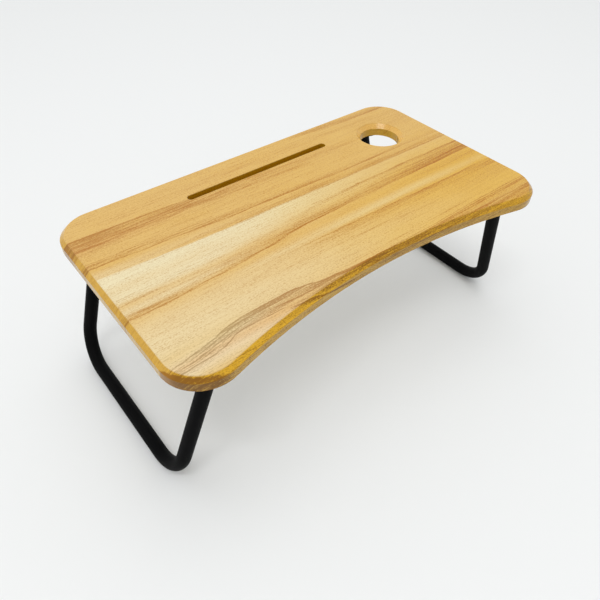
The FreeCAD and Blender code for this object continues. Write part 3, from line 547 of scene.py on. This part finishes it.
in_flame = film.sum("MULTIPLY", film.ramp(x, *TO_FLAME_X), film.ramp(y, *TO_FLAME_Y))
flame_tint = film.mix(film.ramp(x, *TO_FLAME_FOOT), FLAME_TINT, FLAME_FOOT_TINT)
ink = film.mix(film.ramp(x, *RUST_TO_BROWN), RUST_TINT, BROWN_TINT)
ink = film.mix(in_flame, ink, flame_tint)
print("three colours of ground and four brown tints")

# %% [markdown]
# Where the film is drawn over an edge it is stretched and heated, and its colour changes, and the
# edges also carry painted shade. So the next step is to know where a point is: round the cup hole,
# in the groove, on a slope or on an upright face, and at the hollow front or elsewhere. The way that
# a face looks tells a bevel from an upright edge and the front from the ends and the back. Each pair
# of numbers is where a smooth step starts and ends.

# %% Where the film is stretched, and where shade is painted
CUP_HOLE, CUP_EDGE = (0.210, 0.082, 0.0), (0.046, 0.040)
GROOVE_Y, GROOVE_SIDE, GROOVE_END = 0.112, (0.0075, 0.0060), (0.16, 0.14)
SLOPE, END_WAY, BACK_WAY = (0.20, 0.50), (0.86, 0.985), (0.10, 0.50)
EDGE_DROP = (0.0002, 0.0014)

plan = film.together(x, y, 0.0)
from_hole = film.node("VectorMath", {0: plan, 1: CUP_HOLE}, "Value", operation="DISTANCE")
at_hole = film.ramp(from_hole, *CUP_EDGE)
beside_groove = film.sum("ABSOLUTE", film.sum("SUBTRACT", y, GROOVE_Y))
within_length = film.ramp(film.sum("ABSOLUTE", x), *GROOVE_END)
at_groove = film.sum("MULTIPLY", film.ramp(beside_groove, *GROOVE_SIDE), within_length)
sloped = film.ramp(face_z, *SLOPE)
outward = film.node("VectorMath", {0: film.together(face_x, face_y, 0.0)}, operation="NORMALIZE")
at_ends = film.ramp(film.sum("ABSOLUTE", film.apart(outward)["X"]), *END_WAY)
at_back = film.ramp(film.apart(outward)["Y"], *BACK_WAY)
elsewhere = film.sum("MAXIMUM", at_ends, at_back)
below = film.ramp(drop, *EDGE_DROP)
cut_out = film.sum("MAXIMUM", at_hole, at_groove)
# the edges below the top, away from the hole and the groove: stretched film, which also gets painted shade
stretched = film.sum("MULTIPLY", below, film.sum("SUBTRACT", 1.0, cut_out))
print("edges from", round(EDGE_DROP[0] / MM, 1), "mm below the top")

# %% [markdown]
# The bevel turns mustard, the upright edge olive and the groove a deep amber, while round the cup
# hole the film stays near the colour of the top. The groove and the cup wall also carry painted
# shade of their recess. The front is stretched most and also carries painted shade, as less light
# reaches it, so its colours are the darkest and strongest. The brown of the streaks has a deeper
# tint on all the edges, partly the film's own and partly painted shade.

# %% The colours of the edges
# painted shade: the front bevel and front upright are darker partly because the front gets less light
SHADED_FRONT_BEVEL = (0.72, 0.400, 0.020, 1.0)
BEVEL_ELSEWHERE = (0.65, 0.380, 0.052, 1.0)
SHADED_FRONT_UPRIGHT = (0.57, 0.340, 0.056, 1.0)
UPRIGHT_ELSEWHERE = (0.58, 0.378, 0.100, 1.0)
# painted shade: the groove and the cup wall are the film's colour darkened as shade in a recess
SHADED_GROOVE = (0.44, 0.228, 0.004, 1.0)
SHADED_CUP_WALL = (0.56, 0.335, 0.030, 1.0)
CUP_BEVEL = (0.79, 0.490, 0.130, 1.0)
# painted shade: the edge tints deepen the streaks partly as shade, most at the front
SHADED_FRONT_TINT = (0.36, 0.26, 0.12, 1.0)
TINT_ELSEWHERE = (0.54, 0.39, 0.20, 1.0)

bevel = film.mix(elsewhere, SHADED_FRONT_BEVEL, BEVEL_ELSEWHERE)
upright = film.mix(elsewhere, SHADED_FRONT_UPRIGHT, UPRIGHT_ELSEWHERE)
edge = film.mix(sloped, upright, bevel)
edge = film.mix(at_groove, edge, SHADED_GROOVE)
edge = film.mix(at_hole, edge, film.mix(sloped, SHADED_CUP_WALL, CUP_BEVEL))
ground = film.mix(below, ground, edge)
ink = film.mix(stretched, ink, film.mix(elsewhere, SHADED_FRONT_TINT, TINT_ELSEWHERE))
print("four colours of edge, and one each for groove, cup wall and cup bevel")

# %% [markdown]
# The print changes as well. At the front the streaks fade a little and the fine lines are boldest. At
# the ends and the back the streaks are a little stronger and the lines calmer. A mottle of small soft
# spots is what the heat of pressing leaves on every edge.

# %% The print on the edges
STREAK_CHANGE, LINE_CHANGE, STIPPLE_CHANGE = (-0.28, 0.15), (0.2, -0.3), (0.0, -0.5)
MOTTLE_SIZE, MOTTLE_SPAN, MOTTLE_INK = (0.014, 0.005, 1.0), (0.35, 0.75), (0.0, 0.34)


def changed(mask, change):
    """A factor of 1 where the mask is 0, and of 1 plus the change, front or elsewhere, where it is 1."""
    return film.sum("MULTIPLY_ADD", mask, film.scaled(elsewhere, 0.0, 1.0, *change), 1.0)


mottle = film.scaled(film.noise(flat, MOTTLE_SIZE, detail=3.0, rough=0.6), *MOTTLE_SPAN, *MOTTLE_INK)
brown = film.sum("MULTIPLY", brown, changed(below, STREAK_CHANGE))
brown = film.sum("MULTIPLY_ADD", lines, changed(stretched, LINE_CHANGE), brown)
brown = film.sum("MULTIPLY_ADD", stipple, changed(stretched, STIPPLE_CHANGE), brown)
brown = film.sum("MULTIPLY_ADD", mottle, stretched, brown)
print(len(film.tree.nodes), "nodes in the print")

# %% [markdown]
# The film is thin and satin. A little roughness from the fibre breaks up the lamps, and the fibres
# and hairs are pressed in a few hundredths of a millimetre deep.

# %% The film's gloss and relief
FIBRE_ROUGHNESS, CLOUD_ROUGHNESS = (0.16, 0.24), (-0.02, 0.03)
HAIR_SHARE, PRESSED_DEPTH, PRESSED_STRENGTH = 0.5, 0.00004, 0.6

rough = film.scaled(fibre, *WIDE, *FIBRE_ROUGHNESS)
film.finish(
    Base_Color=film.mix(brown, ground, ink, "MULTIPLY"),
    Roughness=film.sum("ADD", rough, film.scaled(cloud, *NARROW, *CLOUD_ROUGHNESS)),
    Specular_IOR_Level=0.28,
)
film.bump(film.sum("MULTIPLY_ADD", hair, HAIR_SHARE, fibre), PRESSED_DEPTH, PRESSED_STRENGTH)
paint(film, "wood_grain_foil")

# %% [markdown]
# ## The board's other layers
#
# Under the film is fibreboard, and a plain paper laminate closes the underside. The laminate is
# off-white with a faint fibre that has no direction, and it scuffs a little where hands and legs
# touch it. Noise of two sizes gives both, and costs less than a picture would.

# %% The laminate
LAMINATE_PALE, LAMINATE_DARK = (0.780, 0.735, 0.650, 1.0), (0.660, 0.610, 0.520, 1.0)
SCUFF_SIZE, PAPER_SIZE = (0.040, 0.040, 0.040), (0.0016, 0.0008, 0.001)
SCUFF_SHADE, PAPER_SHADE = (0.0, 0.5), 0.35
SCUFF_ROUGHNESS = (0.42, 0.58)
PAPER_DEPTH, PAPER_STRENGTH = 0.00003, 0.5

laminate = Recipe("underside_laminate")
spot = laminate.place()
scuff = laminate.noise(spot, SCUFF_SIZE, detail=4.0)
paper = laminate.noise(spot, PAPER_SIZE, detail=3.0)
shade = laminate.sum("MULTIPLY_ADD", paper, PAPER_SHADE, laminate.scaled(scuff, *NARROW, *SCUFF_SHADE))
laminate.finish(
    Base_Color=laminate.mix(shade, LAMINATE_PALE, LAMINATE_DARK),
    Roughness=laminate.scaled(scuff, *NARROW, *SCUFF_ROUGHNESS),
)
laminate.bump(paper, PAPER_DEPTH, PAPER_STRENGTH)
paint(laminate, "backing_sheet")

# %% [markdown]
# Fibreboard is wood dust and glue pressed flat. The film hides nearly all of it, so one noise is
# enough. It is squeezed in height, as the pressed chips are.

# %% The fibreboard
CHIP_DARK, CHIP_PALE = (0.330, 0.205, 0.105, 1.0), (0.520, 0.360, 0.205, 1.0)
CHIP_SIZE, CHIP_DEPTH = (0.0012, 0.0012, 0.0006), 0.0001

fibreboard = Recipe("fibreboard")
chip = fibreboard.noise(fibreboard.place(), CHIP_SIZE, detail=4.0, rough=0.7)
fibreboard.finish(Base_Color=fibreboard.mix(chip, CHIP_DARK, CHIP_PALE), Roughness=0.85)
fibreboard.bump(chip, CHIP_DEPTH)
paint(fibreboard, "mdf_core")

# %% [markdown]
# ## Black powder coat
#
# The legs and the hinge brackets are steel with a baked powder coat. It is almost black, it has a
# very fine orange-peel surface, and it is satin: it shows soft light as a broad dull band. Where a
# leg stands on the floor the coat is rubbed a little greyer. That rubbed strip is found from the
# height above the floor when the leg stands open.

# %% The powder coat
COAT_BLACK, COAT_GREY = (0.0022, 0.0022, 0.0024, 1.0), (0.0048, 0.0048, 0.0050, 1.0)
COAT_RUBBED = (0.045, 0.044, 0.042, 1.0)
PEEL_SIZE, PATCH_SIZE = (0.0011, 0.0011, 0.0011), (0.030, 0.030, 0.030)
RUBBED_HEIGHT, RUBBED_PATCH = (0.0030, 0.0008), (0.40, 0.62)
PATCH_ROUGHNESS = (0.44, 0.56)
PEEL_DEPTH, PEEL_STRENGTH = 0.00003, 0.5

coat = Recipe("black_powder_coat")
spot = coat.place()
peel = coat.noise(spot, PEEL_SIZE, detail=2.0)
patch = coat.noise(spot, PATCH_SIZE, detail=4.0)
height = coat.apart(spot)["Z"]
rubbed = coat.sum("MULTIPLY", coat.ramp(height, *RUBBED_HEIGHT), coat.ramp(patch, *RUBBED_PATCH))
coat.finish(
    Base_Color=coat.mix(rubbed, coat.mix(patch, COAT_BLACK, COAT_GREY), COAT_RUBBED),
    Roughness=coat.scaled(patch, *NARROW, *PATCH_ROUGHNESS),
    Specular_IOR_Level=0.03,
)
coat.bump(peel, PEEL_DEPTH, PEEL_STRENGTH)
paint(coat, *(name for name in nodes if name.endswith(("leg_tube", "hinge_bracket"))))

# %% [markdown]
# ## Zinc-plated steel
#
# Screws are plated with bright zinc: a pale grey metal with a slight blue, dull in patches. The
# rivets have the black zinc that goes with a black leg. Both are the same recipe with other colours,
# so the recipe is a function: full metal, a roughness that follows the dull patches and a relief
# of very fine lines.

# %% The zinc
BRIGHT_ZINC, BRIGHT_DULLED = (0.700, 0.710, 0.730, 1.0), (0.500, 0.510, 0.525, 1.0)
BLACK_ZINC, BLACK_DULLED = (0.030, 0.030, 0.032, 1.0), (0.012, 0.012, 0.012, 1.0)
DULL_SIZE, BRUSH_SIZE = (0.0035, 0.0035, 0.0035), (0.0003, 0.0003, 0.0020)
DULL_ROUGHNESS = (0.26, 0.42)
BRUSH_DEPTH, BRUSH_STRENGTH = 0.00001, 0.5


def zinc_plate(name, bright, dulled):
    """Plated steel: metal all over, from a bright to a dulled colour in small soft patches."""
    zinc = Recipe(name)
    spot = zinc.place()
    dull = zinc.noise(spot, DULL_SIZE, detail=4.0)
    brush = zinc.noise(spot, BRUSH_SIZE, detail=2.0)
    zinc.finish(
        Base_Color=zinc.mix(dull, bright, dulled),
        Metallic=1.0,
        Roughness=zinc.scaled(dull, *NARROW, *DULL_ROUGHNESS),
    )
    zinc.bump(brush, BRUSH_DEPTH, BRUSH_STRENGTH)
    return zinc


bright_zinc = zinc_plate("bright_zinc", BRIGHT_ZINC, BRIGHT_DULLED)
black_zinc = zinc_plate("black_zinc", BLACK_ZINC, BLACK_DULLED)
paint(bright_zinc, *(name for name in nodes if name.endswith("bracket_screws")))
paint(black_zinc, *(name for name in nodes if name.endswith("rivet")))

# %% [markdown]
# ## Black nylon
#
# The sleeves, the washers and the plugs in the tube ends are moulded nylon, which is dark and matt
# with a very fine grain from the mould. One noise gives the colour, the roughness and the relief.

# %% The nylon
NYLON_BLACK, NYLON_GREY = (0.012, 0.012, 0.012, 1.0), (0.026, 0.026, 0.026, 1.0)
MOULD_SIZE, MOULD_ROUGHNESS = (0.0006, 0.0006, 0.0006), (0.48, 0.60)
MOULD_DEPTH, MOULD_STRENGTH = 0.00003, 0.6

nylon = Recipe("black_nylon")
mould_grain = nylon.noise(nylon.place(), MOULD_SIZE, detail=2.0)
nylon.finish(
    Base_Color=nylon.mix(mould_grain, NYLON_BLACK, NYLON_GREY),
    Roughness=nylon.scaled(mould_grain, *NARROW, *MOULD_ROUGHNESS),
    Specular_IOR_Level=0.3,
)
nylon.bump(mould_grain, MOULD_DEPTH, MOULD_STRENGTH)
paint(nylon, *(name for name in nodes if name.endswith(("sleeve", "washers", "plug"))))

# %% [markdown]
# ## Cross-recess screw heads
#
# Four pan-head screws hold each hinge bracket. In the solid model they are plain domes, and what is
# missing is the cross that the driver goes into. It could be cut with a boolean, but a head is simple
# enough to be one formula: its height over the round plan is a dome, less a cross that is deep in the
# middle and runs out before the rim. The grid is round, with rings and spokes.

# %% A head as a height over a disc
HEAD_DIAMETER, HEAD_HEIGHT = 7.0 * MM, 2.2 * MM
HEAD_RINGS, HEAD_SPOKES = 26, 96
CROSS_WIDTH, CROSS_REACH, CROSS_DEPTH, CROSS_FALL = 0.15, 0.62, 0.80, 0.6


def soft_step(value, edge, softness=0.05):
    """1 below the edge and 0 above it, with a smooth change as wide as the softness."""
    share = np.clip((edge + softness / 2 - value) / softness, 0.0, 1.0)
    return share * share * (3.0 - 2.0 * share)


def screw_head(radius, height):
    """Points, quads and triangles of one head, dome downwards, about the middle of its flat side.

    On the unit disc the dome is the cube root of one less the sixth power of the radius. The cross is
    the larger of two bars at right angles, and its depth falls to nothing at its reach, slowly at first.
    """
    share, turn = np.meshgrid(
        np.linspace(0.0, 1.0, HEAD_RINGS)[1:],
        np.linspace(0.0, 2.0 * np.pi, HEAD_SPOKES, endpoint=False),
        indexing="ij",
    )
    across, along = share * np.cos(turn), share * np.sin(turn)
    dome = np.cbrt(1.0 - share**6)
    bar_a = soft_step(np.abs(across), CROSS_WIDTH / 2) * soft_step(np.abs(along), CROSS_REACH)
    bar_b = soft_step(np.abs(along), CROSS_WIDTH / 2) * soft_step(np.abs(across), CROSS_REACH)
    depth = CROSS_DEPTH * np.clip(1.0 - share / CROSS_REACH, 0.0, 1.0) ** CROSS_FALL
    level = dome - np.maximum(bar_a, bar_b) * depth
    rings = np.stack([radius * across, -radius * along, -height * level], axis=-1).reshape(-1, 3)
    middle = np.array([[0.0, 0.0, -height * (1.0 - CROSS_DEPTH)], [0.0, 0.0, 0.0]])
    index = np.arange(len(rings)).reshape(share.shape)
    following = np.roll(index, -1, axis=1)
    quads = np.stack([index[:-1], index[1:], following[1:], following[:-1]], axis=-1).reshape(-1, 4)
    top, under = np.full(HEAD_SPOKES, len(rings)), np.full(HEAD_SPOKES, len(rings) + 1)
    cap = np.stack([top, index[0], following[0]], axis=-1)
    seat = np.stack([under, following[-1], index[-1]], axis=-1)
    return np.concatenate([rings, middle]), quads, np.concatenate([cap, seat])


points, quads, triangles = screw_head(HEAD_DIAMETER / 2, HEAD_HEIGHT)
print("a head has", len(points), "points,", len(quads), "quads and", len(triangles), "triangles")

# %% [markdown]
# A bracket's four screws are one piece in the model. Its box gives their places: each head touches two
# sides of the box, and the box's lowest face is the top of the domes. The four heads are copies of the
# first, so their points are shifted and their faces count on from head to head.

# %% Four heads to a bracket
HEADS = 4
SHARP_EDGE = math.radians(38.0)
count_on = len(points) * np.arange(HEADS)[:, None, None]
head_faces = (quads + count_on).reshape(-1, 4).tolist() + (triangles + count_on).reshape(-1, 3).tolist()

for name in [n for n in nodes if n.endswith("bracket_screws")]:
    low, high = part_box(name)
    inset = HEAD_DIAMETER / 2
    places = [(x, y) for x in (low.x + inset, high.x - inset) for y in (low.y + inset, high.y - inset)]
    seats = np.array([(x, y, low.z + HEAD_HEIGHT) for x, y in places])
    head_points = (points + seats[:, None, :]).reshape(-1, 3)
    mesh = bpy.data.meshes.new(name.replace("bracket", "cross_recess"))
    mesh.from_pydata(head_points.tolist(), [], head_faces)
    mesh.polygons.foreach_set("use_smooth", np.ones(len(mesh.polygons), dtype=bool))
    mesh.set_sharp_from_angle(angle=SHARP_EDGE)
    mesh.materials.append(bright_zinc.material)
    heads = bpy.data.objects.new(mesh.name, mesh)
    scene.collection.objects.link(heads)
    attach(heads, "tabletop")
    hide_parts(name)
    print(heads.name, len(mesh.polygons), "faces")

# %% [markdown]
# ## The floor
#
# The table stands on a plain pale sheet. It is one large round surface, so that it ends far outside
# every view, and its colour is what makes the background pale.

# %% The floor
FLOOR_RADIUS = 14.0
FLOOR_SIDES = 128
FLOOR_COLOUR = (0.855, 0.862, 0.858, 1.0)


def disc(radius, sides):
    """A flat round face: corners at equal angles, each at the radius times the angle's cosine and sine."""
    angle = np.linspace(0.0, 2.0 * np.pi, sides, endpoint=False)
    corners = np.stack([radius * np.cos(angle), radius * np.sin(angle), np.zeros(sides)], axis=1)
    mesh = bpy.data.meshes.new("floor")
    mesh.from_pydata(corners.tolist(), [], [list(range(sides))])
    return mesh


paper_floor = Recipe("floor_paper")
paper_floor.finish(Base_Color=FLOOR_COLOUR, Roughness=0.9, Specular_IOR_Level=0.1)
floor = bpy.data.objects.new("floor", disc(FLOOR_RADIUS, FLOOR_SIDES))
floor.data.materials.append(paper_floor.material)
scene.collection.objects.link(floor)
print("floor of", FLOOR_RADIUS, "m radius")

# %% [markdown]
# ## The light
#
# The shadow lies softly under the table and a little to the front left, so one lamp is a wide panel
# above and to the back right. A long narrow panel, high at the front left, puts a short bright spot on
# the bevel of the cup hole, which is what shows that the film is satin. An area lamp shines along its
# own minus Z, so each is turned by the direction from the lamp to the point that it is aimed at.

# %% The lamps
AIM = Vector((0.0, 0.0, 0.15))
PANELS = {
    # name: place, width, height, power
    "wide_panel": ((0.40, 0.40, 3.30), 1.8, 1.8, 9.0),
    "strip_panel": ((-1.04, -1.05, 3.44), 1.9, 0.28, 26.0),
}

for name, (place, width, height, power) in PANELS.items():
    lamp = bpy.data.lights.new(name, "AREA")
    lamp.shape = "RECTANGLE"
    lamp.size, lamp.size_y = width, height
    lamp.energy = power
    panel = bpy.data.objects.new(name, lamp)
    panel.location = place
    panel.rotation_mode = "QUATERNION"
    panel.rotation_quaternion = (AIM - Vector(place)).to_track_quat("-Z", "Y")
    scene.collection.objects.link(panel)
print(len(PANELS), "panels, of", [power for *_, power in PANELS.values()], "W")

# %% [markdown]
# The pale room does the rest. It is darker towards the front, which is what lets the front bevel
# stand out from the top. What the camera and mirrors see of the room is a plain pale colour, the same
# as the floor. The room is written in the words of the finishes, for the world instead of a piece.

# %% The pale room
ROOM_LIGHT = (0.985, 0.995, 1.0, 1.0)
FRONT_TO_BACK, DIM_TO_BRIGHT = (-0.9, 0.5), (0.64, 0.98)


class Room(Recipe):
    """The world, built with the words of a recipe."""

    def __init__(self, name):
        self.world = bpy.data.worlds.new(name)
        self.world.use_nodes = True
        self.tree = self.world.node_tree
        self.tree.nodes.clear()


room = Room("pale_room")
direction = room.node("TexCoord", {}, "Generated")
bright = room.ramp(room.apart(direction)["Y"], *FRONT_TO_BACK, *DIM_TO_BRIGHT)
rays = room.tree.nodes.new("ShaderNodeLightPath").outputs
seen = room.sum("MAXIMUM", rays["Is Camera Ray"], rays["Is Glossy Ray"])
seen = room.sum("MAXIMUM", seen, rays["Is Transmission Ray"])
lit = room.node("Background", {"Color": ROOM_LIGHT, "Strength": bright})
plain = room.node("Background", {"Color": FLOOR_COLOUR, "Strength": 1.0})
choice = room.node("MixShader", {0: seen, 1: lit, 2: plain})
shown = room.tree.nodes.new("ShaderNodeOutputWorld")
room.tree.links.new(choice, shown.inputs["Surface"])
scene.world = room.world
print("a room of", len(room.tree.nodes), "nodes")

# %% [markdown]
# ## Close the lesson
#
